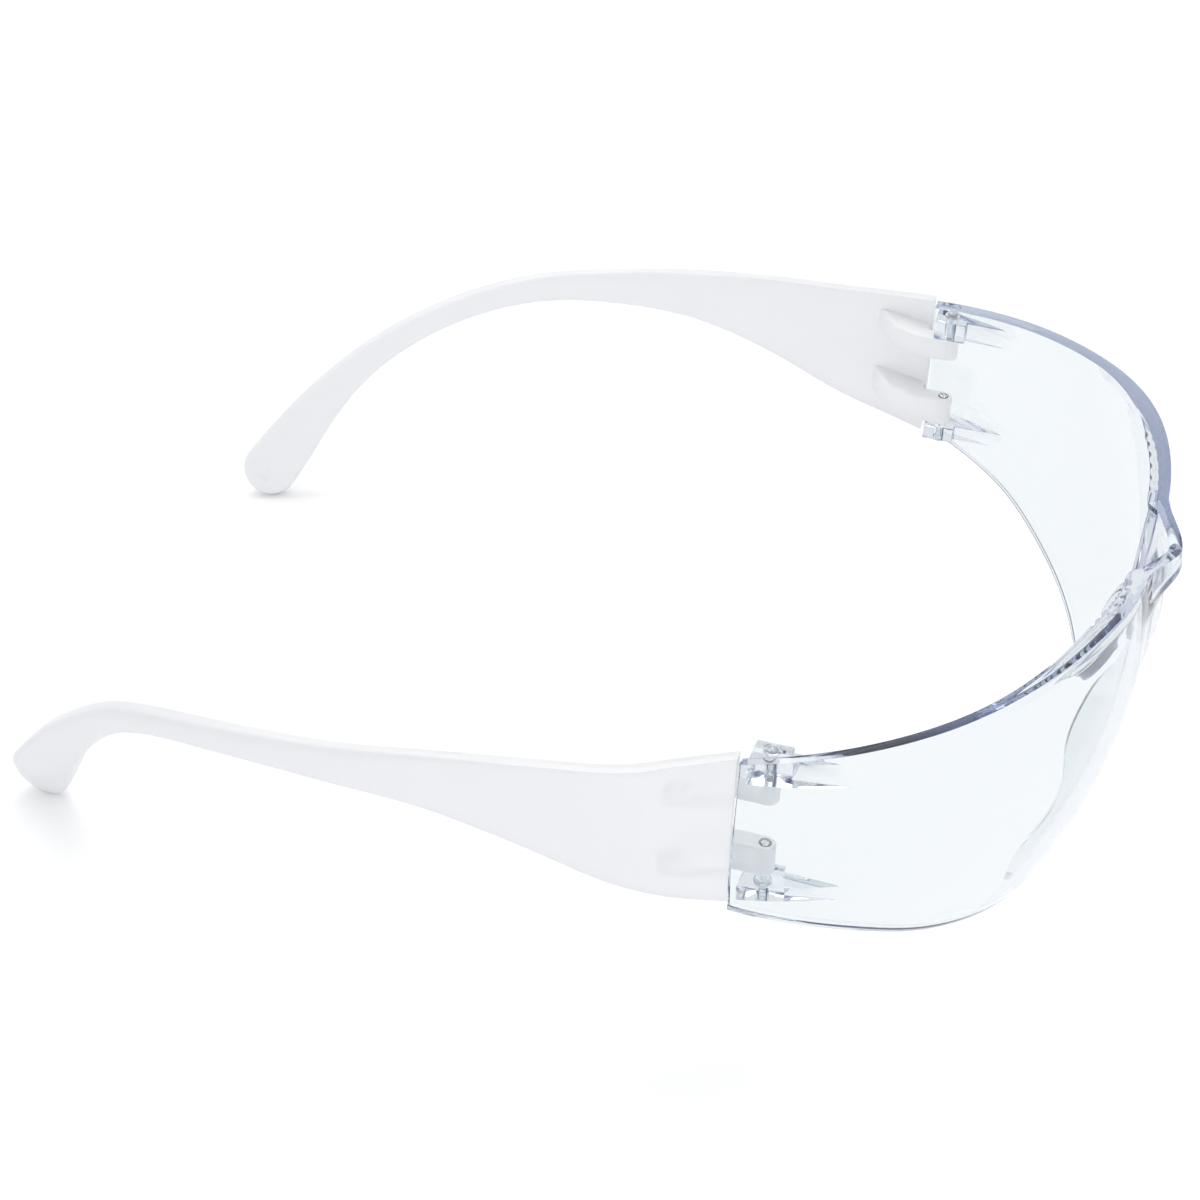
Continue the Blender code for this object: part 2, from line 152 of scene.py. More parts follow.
# Hinges: two lugs on the shield and two tongues on the temple share one upright pin line.
LUG_REACH = 2.1  # how far inboard of the pin line a lug stands
LUG_FRONT = -6.4
LUG_REAR = -0.9
LUG_REAR_SHARE = 0.99
LUG_STEPS = 24
LUG_ROUNDING = 0.25
GUSSET_SHARE = 0.80
GUSSET_REACH = 0.9
UPPER_LUG = (12.9, 16.6)
LOWER_LUG = (-8.1, -5.3)
UPPER_TONGUE = (8.4, 12.6)
LOWER_TONGUE = (-5.0, 0.2)
TONGUE_RADIUS = 1.6
TONGUE_FLANK_Y = 2.0
TONGUE_ROOT_X = 67.2
TONGUE_ROOT_Y = 11.0
TONGUE_ROOT_DEPTH = 1.6  # how far into the bowed panel the root reaches
TONGUE_FILLET_X = 4.6
TONGUE_FILLET_Y = 6.6
TONGUE_STEPS = 24
TONGUE_ROUNDING = 0.4
PIN_CHAMFER = 0.15
PIN_HEAD_SKIRT = 0.25  # height of the straight part of a pin's head, under its dome
PIN_DOME_STEPS = 8
PIN_HOLE_RADIUS = 0.95
BORE_SPARE = 1.0  # how far a hole's cutter stands out of what it cuts
GAP = 0.3
WELD = 1e-4
BEVEL_SEGMENTS = 3
TURN_SEGMENTS = 48
BALL_RINGS = 24
SHARP_EDGE = radians(40.0)  # a moulding's edge that turns by more than this is rounded or kept crisp
SHIELD_SHARP_EDGE = radians(34.0)
PIN_SHARP_EDGE = radians(35.0)

# Temples: (distance back, distance out, height, half depth, thickness) down the middle of the arm.
TEMPLE_LINE = (
    (0.3, 65.7, 4.2, 13.8, 2.2),
    (13.6, 69.5, 3.4, 11.6, 2.3),
    (28.6, 71.3, 5.1, 8.1, 2.4),
    (44.6, 72.2, 5.9, 5.1, 2.5),
    (59.0, 72.2, 4.9, 3.6, 2.6),
    (72.8, 70.6, 3.3, 2.8, 2.8),
    (82.5, 68.1, 1.0, 2.5, 3.0),
    (92.6, 64.0, -2.8, 2.4, 3.2),
    (101.9, 59.4, -8.2, 2.6, 3.3),
    (108.6, 56.5, -14.0, 3.0, 3.4),
    (115.2, 52.8, -21.7, 3.9, 3.5),
    (120.0, 50.2, -29.0, 4.8, 3.6),
    (124.0, 47.6, -35.2, 5.3, 3.4),
)
TEMPLE_STATIONS = 150
TIP_STATIONS = 24
TEMPLE_ROWS = 22
PANEL_BOW = 1.0
PANEL_BOW_LENGTH = 40.0
TURN_FADE = 12.0  # length over which the panel starts to turn with the arm
FRONT_FADE = 7.0  # length over which the wall turns from square across to square on the arm
RUN_STEP = 0.5
EASING = 6.0  # half the length over which the arm's line is averaged
EASE_STEPS = 6
TIP_TURN = radians(88.0)
PANEL_FULLNESS = 12.0  # a high number gives a flat side with tight edges, and 2 an ellipse
ARM_FULLNESS = 3.2
EDGE_SHARE = 0.12  # thickness left at the very edge
TIP_EDGE_SHARE = 0.2
DIMPLE_BALL = 3.0
DIMPLE_SHARE = 0.3  # how far along the rounded tip the dimple is

# Camera and stage, in the worn position.
CAMERA_AZIMUTH = radians(-73.0)
CAMERA_ELEVATION = radians(37.0)
CAMERA_ROLL = radians(1.44)
CAMERA_PLACE = (-331.7, -60.6, 252.1)
CAMERA_SHIFT = (-0.0025, -0.0133)
SENSOR_WIDTH = 36.0
BACKDROP_STRENGTH = 1.1
WALL_BOUNCES = 40  # light seen through a rim bounces this often inside the wall before it leaves

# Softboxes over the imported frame, in metres: name, width and depth, place, and the point they face.
KEY_SOFTBOX = ("overhead_softbox", (0.5, 0.35), (0.25, 0.15, 0.7), (0.0, 0.0, 0.0))
FILL_SOFTBOX = ("near_side_softbox", (0.2, 0.12), (-0.26, -0.2, 0.1), (-0.07, -0.02, 0.02))

POLYCARBONATE_IOR = 1.585


def linear_colour(hex_code):
    """An sRGB hex colour as the linear red, green, blue and alpha that shaders use."""
    channels = [int(hex_code[start : start + 2], 16) / 255.0 for start in (1, 3, 5)]
    linear = [c / 12.92 if c <= 0.04045 else ((c + 0.055) / 1.055) ** 2.4 for c in channels]
    return (*linear, 1.0)


def add_node(tree, kind, settings=None, inputs=None):
    """Adds a node with its settings; an input given as an output socket is linked, and any other is set."""
    node = tree.nodes.new(kind)
    for name, value in (settings or {}).items():
        setattr(node, name, value)
    for name, value in (inputs or {}).items():
        if isinstance(value, bpy.types.NodeSocket):
            tree.links.new(value, node.inputs[name])
        else:
            node.inputs[name].default_value = value
    return node


def new_material(name):
    """An empty node material with its output, ready for a shader."""
    material = bpy.data.materials.new(name)
    material.use_nodes = True
    material.node_tree.nodes.clear()
    output = add_node(material.node_tree, "ShaderNodeOutputMaterial")
    return material, material.node_tree, output


def clear_polycarbonate(settings):
    """Injection-moulded, polished clear polycarbonate: water-clear across the wall, blue-grey along it."""
    material, tree, output = new_material("polished_clear_polycarbonate")
    place = add_node(tree, "ShaderNodeTexCoord")
    handling = add_node(
        tree,
        "ShaderNodeTexNoise",
        inputs={"Vector": place.outputs["Object"], "Scale": 1.0 / (9.0 * MM), "Detail": 2.0},
    )
    polish = add_node(
        tree,
        "ShaderNodeMapRange",
        inputs={"Value": handling.outputs["Fac"], "From Min": 0.35, "From Max": 0.75, "To Max": 0.012},
    )
    shader = add_node(
        tree,
        "ShaderNodeBsdfPrincipled",
        inputs={
            "Base Color": linear_colour("#EDF1F2"),
            "Roughness": polish.outputs["Result"],
            "IOR": POLYCARBONATE_IOR,
            "Transmission Weight": 1.0,
        },
    )
    tint = add_node(
        tree,
        "ShaderNodeVolumeAbsorption",
        inputs={"Color": linear_colour("#B2BDD6"), "Density": settings.tint_density},
    )
    tree.links.new(shader.outputs["BSDF"], output.inputs["Surface"])
    tree.links.new(tint.outputs["Volume"], output.inputs["Volume"])
    return material


def milky_polycarbonate(settings):
    """Moulded translucent polycarbonate: clouded and satin, glassier at the hinge end than at the tip."""
    material, tree, output = new_material("milky_moulded_polycarbonate")
    place = add_node(tree, "ShaderNodeTexCoord")
    along_arm = add_node(tree, "ShaderNodeSeparateXYZ", inputs={"Vector": place.outputs["Object"]})
    clouding = add_node(
        tree,
        "ShaderNodeMapRange",
        settings={"interpolation_type": "SMOOTHSTEP"},
        inputs={"Value": along_arm.outputs["Y"], "From Min": -45.0 * MM, "From Max": 35.0 * MM},
    )
    see_through = add_node(
        tree,
        "ShaderNodeMapRange",
        inputs={"Value": clouding.outputs["Result"], "To Min": 0.30, "To Max": 0.25},
    )
    satin = add_node(
        tree,
        "ShaderNodeMapRange",
        inputs={"Value": clouding.outputs["Result"], "To Min": 0.29, "To Max": 0.38},
    )
    grain = add_node(
        tree,
        "ShaderNodeTexNoise",
        inputs={"Vector": place.outputs["Object"], "Scale": 1.0 / (0.5 * MM), "Detail": 3.0},
    )
    relief = add_node(
        tree,
        "ShaderNodeBump",
        inputs={"Strength": 0.12, "Distance": 0.02 * MM, "Height": grain.outputs["Fac"]},
    )
    shader = add_node(
        tree,
        "ShaderNodeBsdfPrincipled",
        inputs={
            "Base Color": (*settings.milk_colour, 1.0),
            "Roughness": satin.outputs["Result"],
            "IOR": POLYCARBONATE_IOR,
            "Transmission Weight": see_through.outputs["Result"],
            "Normal": relief.outputs["Normal"],
        },
    )
    tree.links.new(shader.outputs["BSDF"], output.inputs["Surface"])
    return material


def moulded_pin_plastic():
    """Clear moulded plastic, a little hazier than the lens because its skin is left as moulded."""
    material, tree, output = new_material("as_moulded_clear_plastic")
    place = add_node(tree, "ShaderNodeTexCoord")
    haze = add_node(
        tree,
        "ShaderNodeTexNoise",
        inputs={"Vector": place.outputs["Object"], "Scale": 1.0 / (0.6 * MM), "Detail": 2.0},
    )
    skin = add_node(
        tree,
        "ShaderNodeMapRange",
        inputs={"Value": haze.outputs["Fac"], "To Min": 0.03, "To Max": 0.12},
    )
    shader = add_node(
        tree,
        "ShaderNodeBsdfPrincipled",
        inputs={
            "Base Color": linear_colour("#F2F6FB"),
            "Roughness": skin.outputs["Result"],
            "IOR": POLYCARBONATE_IOR,
            "Transmission Weight": 0.9,
        },
    )
    tree.links.new(shader.outputs["BSDF"], output.inputs["Surface"])
    return material


def matt_paper(settings):
    """White seamless paper: matt, with a tooth too fine to see from here."""
    material, tree, output = new_material("white_seamless_paper")
    shader = add_node(
        tree,
        "ShaderNodeBsdfPrincipled",
        inputs={
            "Base Color": (*settings.floor_colour, 1.0),
            "Roughness": 0.9,
            "Specular IOR Level": 0.2,
        },
    )
    tree.links.new(shader.outputs["BSDF"], output.inputs["Surface"])
    return material


def smooth_step(value):
    held = min(1.0, max(0.0, value))
    return held * held * (3.0 - 2.0 * held)


def along(points, place):
    """The values at one place on the smooth curve through points, whose first number is the place."""
    last = len(points) - 1
    segment = 0
    while segment < last - 1 and place > points[segment + 1][0]:
        segment += 1

    def slope(index, column):
        before = points[max(index - 1, 0)]
        after = points[min(index + 1, last)]
        return (after[column] - before[column]) / (after[0] - before[0])

    start, end = points[segment], points[segment + 1]
    span = end[0] - start[0]
    t = min(1.0, max(0.0, (place - start[0]) / span))
    values = []
    for column in range(1, len(start)):
        rise = end[column] - start[column]
        leave = slope(segment, column) * span
        arrive = slope(segment + 1, column) * span
        bend = (3.0 * rise - 2.0 * leave - arrive) * t**2 + (leave + arrive - 2.0 * rise) * t**3
        values.append(start[column] + leave * t + bend)
    return values


def slab(columns, rows):
    """A flat block with corners at 0 and 1, divided across its face and one cell thick."""
    bm = bmesh.new()
    bmesh.ops.create_grid(bm, x_segments=columns, y_segments=rows, size=0.5)
    bmesh.ops.translate(bm, vec=(0.5, 0.5, 0.0), verts=bm.verts)
    raised = bmesh.ops.extrude_face_region(bm, geom=bm.faces[:])
    top = [item for item in raised["geom"] if isinstance(item, bmesh.types.BMVert)]
    bmesh.ops.translate(bm, vec=(0.0, 0.0, 1.0), verts=top)
    return bm


def prism(outline, bottom, top):
    """An upright prism over a plan outline."""
    bm = bmesh.new()
    face = bm.faces.new([bm.verts.new((x, y, bottom)) for x, y in outline])
    raised = bmesh.ops.extrude_face_region(bm, geom=[face])
    lifted = [item for item in raised["geom"] if isinstance(item, bmesh.types.BMVert)]
    bmesh.ops.translate(bm, vec=(0.0, 0.0, top - bottom), verts=lifted)
    bmesh.ops.recalc_face_normals(bm, faces=bm.faces)
    return bm


def round_edges(bm, radius):
    """Rounds the sharp edges."""
    sharp = [edge for edge in bm.edges if edge.is_manifold and edge.calc_face_angle() > SHARP_EDGE]
    bmesh.ops.bevel(
        bm,
        geom=sharp,
        offset=radius,
        offset_type="OFFSET",
        affect="EDGES",
        segments=BEVEL_SEGMENTS,
        profile=0.5,
        material=-1,
        clamp_overlap=True,
    )
    return bm


def upright_cylinder(x, y, bottom, top, radius):
    bm = bmesh.new()
    bmesh.ops.create_cone(
        bm,
        cap_ends=True,
        segments=TURN_SEGMENTS,
        radius1=radius,
        radius2=radius,
        depth=top - bottom,
        matrix=Matrix.Translation((x, y, (top + bottom) / 2.0)),
    )
    return bm


def ball(centre, radius):
    bm = bmesh.new()
    bmesh.ops.create_uvsphere(
        bm,
        u_segments=TURN_SEGMENTS,
        v_segments=BALL_RINGS,
        radius=radius,
        matrix=Matrix.Translation(centre),
    )
    return bm


def set_down(name, bm, side=RIGHT):
    """Turns a worn shape drawn on the -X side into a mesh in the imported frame, on the given side."""
    if side == LEFT:
        bmesh.ops.scale(bm, vec=(-1.0, 1.0, 1.0), verts=bm.verts)
    bmesh.ops.recalc_face_normals(bm, faces=bm.faces)
    bmesh.ops.transform(bm, matrix=WORN_TO_TABLE, verts=bm.verts)
    mesh = bpy.data.meshes.new(name)
    bm.to_mesh(mesh)
    bm.free()
    mesh.shade_smooth()
    return mesh


def show(name, mesh, material):
    piece = bpy.data.objects.new(name, mesh)
    piece.data.materials.clear()
    piece.data.materials.append(material)
    bpy.context.scene.collection.objects.link(piece)
    return piece


def carve(piece, additions, holes, sharp_angle):
    """Joins the additions to a piece, cuts the holes and keeps the result as its mesh."""
    for operation, shapes in (("UNION", additions), ("DIFFERENCE", holes)):
        if not shapes:
            continue
        helpers = bpy.data.collections.new(f"{piece.name}_{operation.lower()}")
        bpy.context.scene.collection.children.link(helpers)
        for index, mesh in enumerate(shapes):
            helpers.objects.link(bpy.data.objects.new(f"{helpers.name}_{index}", mesh))
        boolean = piece.modifiers.new(operation.lower(), "BOOLEAN")
        boolean.operation = operation
        boolean.operand_type = "COLLECTION"
        boolean.collection = helpers
        boolean.solver = "EXACT"
        bpy.context.view_layer.update()
        graph = bpy.context.evaluated_depsgraph_get()
        finished = bpy.data.meshes.new_from_object(piece.evaluated_get(graph))
        piece.modifiers.clear()
        piece.data = finished
        for helper in list(helpers.objects):
            bpy.data.objects.remove(helper, do_unlink=True)
        bpy.data.collections.remove(helpers)
    piece.data.shade_smooth()
    piece.data.set_sharp_from_angle(angle=sharp_angle)
    return piece


def settle(piece, body, node):
    """Hands a finished piece to the frame."""
    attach(piece, body)
    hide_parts(node)


def bridge_bulge(x, height):
    """How far the bridge stands forward of the lens faces beside it."""
    spread = max(0.0, 1.0 - abs(x) / BULGE_HALF_WIDTH)
    size = BULGE_LOW + (BULGE_HIGH - BULGE_LOW) * smooth_step((height - BULGE_STARTS) / BULGE_BLEND)
    return size * smooth_step(spread)


def wrap(height):
    """Radius of the wrap, and how far back its axis is, at a height."""
    radius = WRAP_RADIUS - (height - WIDEST_HEIGHT) ** 2 / (2.0 * BOW_RADIUS)
    return radius, AXIS_Y + LEAN * (WIDEST_HEIGHT - height)


def shield_face(share, height):
    """A point on the front of the right half; share runs from 0 at the middle to 1 at the hinge edge."""
    radius, axis_y = wrap(height)
    first = -asin(AXIS_X / radius)
    last = acos(axis_y / radius)
    angle = first + share * (last - first)
    x = -AXIS_X - radius * sin(angle)
    y = axis_y - radius * cos(max(angle, 0.0))
    return Vector((x, y - bridge_bulge(x, height), height))


def shield_inward(share, height):
    """Unit direction from the front face into the wall."""
    back = max(share - SLOPE_STEP, 0.0)
    on = min(share + SLOPE_STEP, 1.0)
    across = shield_face(on, height) - shield_face(back, height)
    up = shield_face(share, height + SLOPE_STEP) - shield_face(share, height - SLOPE_STEP)
    inward = across.cross(up).normalized()
    if inward.y < 0.0:
        inward.negate()
    if share <= 0.0:
        inward.x = 0.0
    if share > 1.0 - SLOPE_STEP:
        inward.y = 0.0  # the hinge edge is square to the side, clear of the temple
    return inward.normalized()


def column_share(place):
    """Spreads the grid columns, closer together beside the nose."""
    turn = NOSE_COLUMNS / (NOSE_COLUMNS + LENS_COLUMNS)
    if place < turn:
        return NOSE_SHARE * place / turn
    return NOSE_SHARE + (1.0 - NOSE_SHARE) * (place - turn) / (1.0 - turn)


def ledge_growth(share):
    """How far the ledge has grown out of the wall, from 0 to 1, along the brow."""
    towards_bridge = smooth_step((LEDGE_ENDS - share) / (LEDGE_ENDS - LEDGE_FULL))
    return towards_bridge * smooth_step((share - LEDGE_STARTS) / LEDGE_LEAD_IN + 1.0)


def wall_thickness(settings, share, below_brow):
    rise = smooth_step((settings.ledge_height + LEDGE_EASING / 2.0 - below_brow) / LEDGE_EASING)
    return settings.wall + (settings.ledge_width - settings.wall) * ledge_growth(share) * rise


def lens_wall(settings):
    """The curved wall of the shield with its brow ledge, whole and with rounded rims."""
    rows = WALL_ROWS + BROW_ROWS
    bm = slab(NOSE_COLUMNS + LENS_COLUMNS, rows)
    for vert in bm.verts:
        share = column_share(vert.co.x)
        row = round(vert.co.y * rows)
        low = along(LOWER_LINE, share)[0]
        high = along(BROW_LINE, share)[0]
        band = high - BROW_BAND
        if row <= WALL_ROWS:
            height = low + (band - low) * row / WALL_ROWS
        else:
            height = band + BROW_BAND * (row - WALL_ROWS) / BROW_ROWS
        inward = shield_inward(share, height)
        depth = wall_thickness(settings, share, high - height) * vert.co.z
        vert.co = shield_face(share, height) + inward * depth
        if share <= 0.0:
            vert.co.x = 0.0
    middle = [face for face in bm.faces if all(vert.co.x == 0.0 for vert in face.verts)]
    bmesh.ops.delete(bm, geom=middle, context="FACES_ONLY")
    bmesh.ops.mirror(bm, geom=bm.verts[:] + bm.edges[:] + bm.faces[:], axis="X", merge_dist=WELD)
    bmesh.ops.recalc_face_normals(bm, faces=bm.faces)
    return round_edges(bm, settings.rim_radius)


def scallop(settings, share):
    """The cutter for one shallow notch in the rear of the brow ledge."""
    top = along(BROW_LINE, share)[0]
    behind = wall_thickness(settings, share, 0.0) + SCALLOP_RADIUS - SCALLOP_DEPTH
    centre = shield_face(share, top) + shield_inward(share, top) * behind
    bottom = top - settings.ledge_height
    return upright_cylinder(centre.x, centre.y, bottom, top + BORE_SPARE, SCALLOP_RADIUS)


def bridge_bar():
    """The straight bar behind the pocket, leaning with the lens."""
    bm = slab(BAR_COLUMNS, BAR_ROWS)
    for vert in bm.verts:
        height = BAR_BOTTOM + (BAR_TOP - BAR_BOTTOM) * vert.co.y
        radius, axis_y = wrap(height)
        depth = BAR_FRONT + (BAR_BACK - BAR_FRONT) * vert.co.z
        vert.co = Vector(((2.0 * vert.co.x - 1.0) * BAR_HALF_LENGTH, axis_y - radius + depth, height))
    bmesh.ops.recalc_face_normals(bm, faces=bm.faces)
    return round_edges(bm, BAR_ROUNDING)


def pocket_floor(wall):
    """The floor of the pocket, from the middle of the front wall to the middle of the bar."""
    radius, axis_y = wrap(BAR_BOTTOM)
    face_y = axis_y - radius
    outline = []
    for index in range(FLOOR_STEPS + 1):
        x = FLOOR_HALF_WIDTH * (2.0 * index / FLOOR_STEPS - 1.0)
        outline.append((x, face_y - bridge_bulge(x, BAR_BOTTOM) + wall / 2.0))
    back = face_y + (BAR_FRONT + BAR_BACK) / 2.0
    outline += [(FLOOR_HALF_WIDTH, back), (-FLOOR_HALF_WIDTH, back)]
    return prism(outline, BAR_BOTTOM, BAR_BOTTOM + FLOOR_THICKNESS)


def nose_pad():
    """The right nose pad: a strip swept along the edge of the nose cut-out."""
    bm = slab(PAD_COLUMNS, PAD_ROWS)
    first, last = PAD_DEPTH[0][0], PAD_DEPTH[-1][0]
    rearward = Vector((-PAD_SPLAY, 1.0, 0.0)).normalized()

    def edge(share):
        return shield_face(share, along(LOWER_LINE, share)[0])

    for vert in bm.verts:
        share = first + (last - first) * vert.co.x
        tangent = (edge(share + 2.0 * SLOPE_STEP) - edge(share - 2.0 * SLOPE_STEP)).normalized()
        into_lens = tangent.cross(rearward).normalized()
        if into_lens.z < 0.0:
            into_lens.negate()
        depth = along(PAD_DEPTH, share)[0]
        start = edge(share) + into_lens * PAD_INSET + rearward * PAD_OVERLAP
        vert.co = start + rearward * depth * vert.co.y + into_lens * PAD_THICKNESS * vert.co.z
    bmesh.ops.recalc_face_normals(bm, faces=bm.faces)
    return round_edges(bm, PAD_ROUNDING)


def lug(wall, span):
    """A hinge lug: a block round the pin line with a gusset that runs forward along the wall."""
    bottom, top = span
    middle = (bottom + top) / 2.0
    outline = []
    for index in range(LUG_STEPS + 1):
        share = LUG_REAR_SHARE + (GUSSET_SHARE - LUG_REAR_SHARE) * index / LUG_STEPS
        point = shield_face(share, middle) + shield_inward(share, middle) * wall / 2.0
        outline.append((point.x, point.y))
    outline.append((-HINGE_X + GUSSET_REACH, LUG_FRONT))
    outline.append((-HINGE_X + LUG_REACH, LUG_FRONT))
    outline.append((-HINGE_X + LUG_REACH, LUG_REAR))
    return round_edges(prism(outline, bottom, top), LUG_ROUNDING)


def tongue(span):
    """A temple tongue: rounded round the pin line and thickened where it meets the side panel."""
    bottom, top = span
    outline = []
    for index in range(TONGUE_STEPS + 1):
        angle = pi + pi * index / TONGUE_STEPS
        outline.append((-HINGE_X + TONGUE_RADIUS * cos(angle), HINGE_Y + TONGUE_RADIUS * sin(angle)))
    outline.append((-HINGE_X + TONGUE_RADIUS, TONGUE_FLANK_Y))
    outline.append((-TONGUE_ROOT_X + TONGUE_FILLET_X, TONGUE_FILLET_Y))
    outline.append((-TONGUE_ROOT_X - TONGUE_ROOT_DEPTH, TONGUE_ROOT_Y))
    outline.append((-TONGUE_ROOT_X, 2.0 * GAP))
    outline.append((-HINGE_X - TONGUE_RADIUS, 2.0 * GAP))
    return round_edges(prism(outline, bottom, top), TONGUE_ROUNDING)


def bore(span):
    """The cutter for a pin's clearance hole through a lug or a tongue."""
    bottom, top = span
    return upright_cylinder(-HINGE_X, HINGE_Y, bottom - BORE_SPARE, top + BORE_SPARE, PIN_HOLE_RADIUS)


def arm_line():
    """The points of the arm's middle line, each led by its distance along the arm."""
    line = [(0.0, *TEMPLE_LINE[0])]
    for before, after in zip(TEMPLE_LINE, TEMPLE_LINE[1:]):
        line.append((line[-1][0] + (Vector(after[:3]) - Vector(before[:3])).length, *after))
    return line


def eased(line, place):
    """The arm's values at a place, averaged over a short stretch so that its curve has no joins."""
    window = min(EASING, place, line[-1][0] - place)
    totals = [0.0] * len(TEMPLE_LINE[0])
    for step in range(-EASE_STEPS, EASE_STEPS + 1):
        weight = (EASE_STEPS + 1 - abs(step)) / (EASE_STEPS + 1) ** 2
        for column, value in enumerate(along(line, place + window * step / EASE_STEPS)):
            totals[column] += weight * value
    return totals


def arm_section(line, place):
    """The arm's centre, half depth, thickness and three directions at a place: along it, up and outward."""
    back, out, height, half_depth, thickness = eased(line, place)
    ahead = eased(line, min(place + RUN_STEP, line[-1][0]))
    behind = eased(line, max(place - RUN_STEP, 0.0))
    run = Vector((behind[1] - ahead[1], ahead[0] - behind[0], ahead[2] - behind[2])).normalized()
    turned = Vector((0.0, -run.z, run.y)).normalized()
    upright = Vector((0.0, 0.0, 1.0)).lerp(turned, smooth_step(place / TURN_FADE)).normalized()
    outward = run.cross(upright).normalized()
    if outward.x > 0.0:
        outward.negate()
    outward = Vector((-1.0, 0.0, 0.0)).lerp(outward, smooth_step(place / FRONT_FADE)).normalized()
    return Vector((-out, back, height)), half_depth, thickness, run, upright, outward


def temple_arm(settings):
    """The right temple: a deep side panel that narrows into a slim arm and turns down to a rounded tip."""
    line = arm_line()
    end = line[-1][0]
    stations = TEMPLE_STATIONS + TIP_STATIONS
    sections = [arm_section(line, end * min(1.0, index / TEMPLE_STATIONS)) for index in range(stations + 1)]
    bm = slab(stations, TEMPLE_ROWS)
    for vert in bm.verts:
        station = round(vert.co.x * stations)
        place = end * min(1.0, station / TEMPLE_STATIONS)
        centre, half_depth, thickness, run, upright, outward = sections[station]
        turn = TIP_TURN * max(0, station - TEMPLE_STATIONS) / TIP_STATIONS
        narrowing = cos(turn)
        across = sin((vert.co.y - 0.5) * pi)
        bow = PANEL_BOW * (1.0 - across**2) * (1.0 - smooth_step(place / PANEL_BOW_LENGTH))
        slimmed = smooth_step(place / settings.panel_length)
        fullness = PANEL_FULLNESS + (ARM_FULLNESS - PANEL_FULLNESS) * slimmed
        rounding = EDGE_SHARE + (1.0 - EDGE_SHARE) * (1.0 - abs(across) ** fullness) ** (1.0 / fullness)
        end_round = TIP_EDGE_SHARE + (1.0 - TIP_EDGE_SHARE) * sqrt(1.0 - (1.0 - narrowing) ** 2)
        through = bow + thickness * end_round * rounding * (0.5 - vert.co.z)
        vert.co = centre + run * half_depth * sin(turn)
        vert.co += upright * half_depth * narrowing * across + outward * through
    return bm


def tip_dimples(settings):
    """The cutters for the shallow round dimples in both faces of the tip."""
    line = arm_line()
    centre, half_depth, thickness, run, upright, outward = arm_section(line, line[-1][0])
    reach = thickness / 2.0 + DIMPLE_BALL - settings.dimple_depth
    middle = centre + run * half_depth * DIMPLE_SHARE
    return [ball(middle + outward * reach * face, DIMPLE_BALL) for face in (-1.0, 1.0)]


def pin(settings, bottom, top, head_at_top):
    """A hinge pin with a domed head outside its lug, about the pin line."""
    bm = bmesh.new()
    length = top - bottom
    radius, head, rise = settings.radius, settings.head_radius, settings.head_height
    foot = radius - PIN_CHAMFER
    profile = [(0.0, 0.0), (foot, 0.0), (radius, PIN_CHAMFER), (radius, length), (head, length)]
    for index in range(PIN_DOME_STEPS + 1):
        turn = pi / 2.0 * index / PIN_DOME_STEPS
        height = length + PIN_HEAD_SKIRT + (rise - PIN_HEAD_SKIRT) * sin(turn)
        profile.append((head * cos(turn), height))
    profile[-1] = (0.0, length + rise)
    verts = [bm.verts.new((across, 0.0, height)) for across, height in profile]
    edges = [bm.edges.new(pair) for pair in zip(verts, verts[1:])]
    bmesh.ops.spin(
        bm,
        geom=verts + edges,
        cent=(0.0, 0.0, 0.0),
        axis=(0.0, 0.0, 1.0),
        angle=2.0 * pi,
        steps=TURN_SEGMENTS,
        use_merge=True,
    )
    bmesh.ops.remove_doubles(bm, verts=bm.verts, dist=WELD)
    if not head_at_top:
        bmesh.ops.scale(bm, vec=(1.0, 1.0, -1.0), verts=bm.verts)
        bmesh.ops.translate(bm, vec=(0.0, 0.0, length), verts=bm.verts)
    bmesh.ops.translate(bm, vec=(-HINGE_X, HINGE_Y, bottom), verts=bm.verts)
    return bm


class ShieldSettings(bpy.types.PropertyGroup):
    """Sizes and tint of the clear lens shield, in millimetres."""

    wall: FloatProperty(name="Wall", description="Thickness of the lens, mm", default=2.0, min=1.5, max=3.0)
    ledge_width: FloatProperty(name="Ledge Width", description="Depth of the brow ledge, mm", default=3.3)
    ledge_height: FloatProperty(name="Ledge Height", description="Height of the brow ledge, mm", default=2.0)
    rim_radius: FloatProperty(name="Rim Radius", description="Rounding of the lens rims, mm", default=0.35)
    tint_density: FloatProperty(name="Tint Density", description="Strength of the blue tint", default=36.0)


class TempleSettings(bpy.types.PropertyGroup):
    """Sizes and colour of the milky temples."""

    panel_length: FloatProperty(
        name="Panel Length",
        description="Length of the flat side panel, mm",
        default=60.0,
    )
    dimple_depth: FloatProperty(
        name="Dimple Depth",
        description="Depth of the dimple at the tip, mm",
        default=0.35,
    )
    milk_colour: FloatVectorProperty(
        name="Milk Colour",
        description="Colour of the clouded plastic",
        subtype="COLOR",
        size=3,
        min=0.0,
        max=1.0,
        default=linear_colour("#FAFBFC")[:3],
    )


class PinSettings(bpy.types.PropertyGroup):
    """Sizes of the hinge pins, in millimetres."""

    radius: FloatProperty(name="Radius", description="Radius of the pin's shank, mm", default=0.75)
    head_radius: FloatProperty(name="Head Radius", description="Radius of the pin's head, mm", default=1.3)
    head_height: FloatProperty(name="Head Height", description="Height of the pin's head, mm", default=0.7)


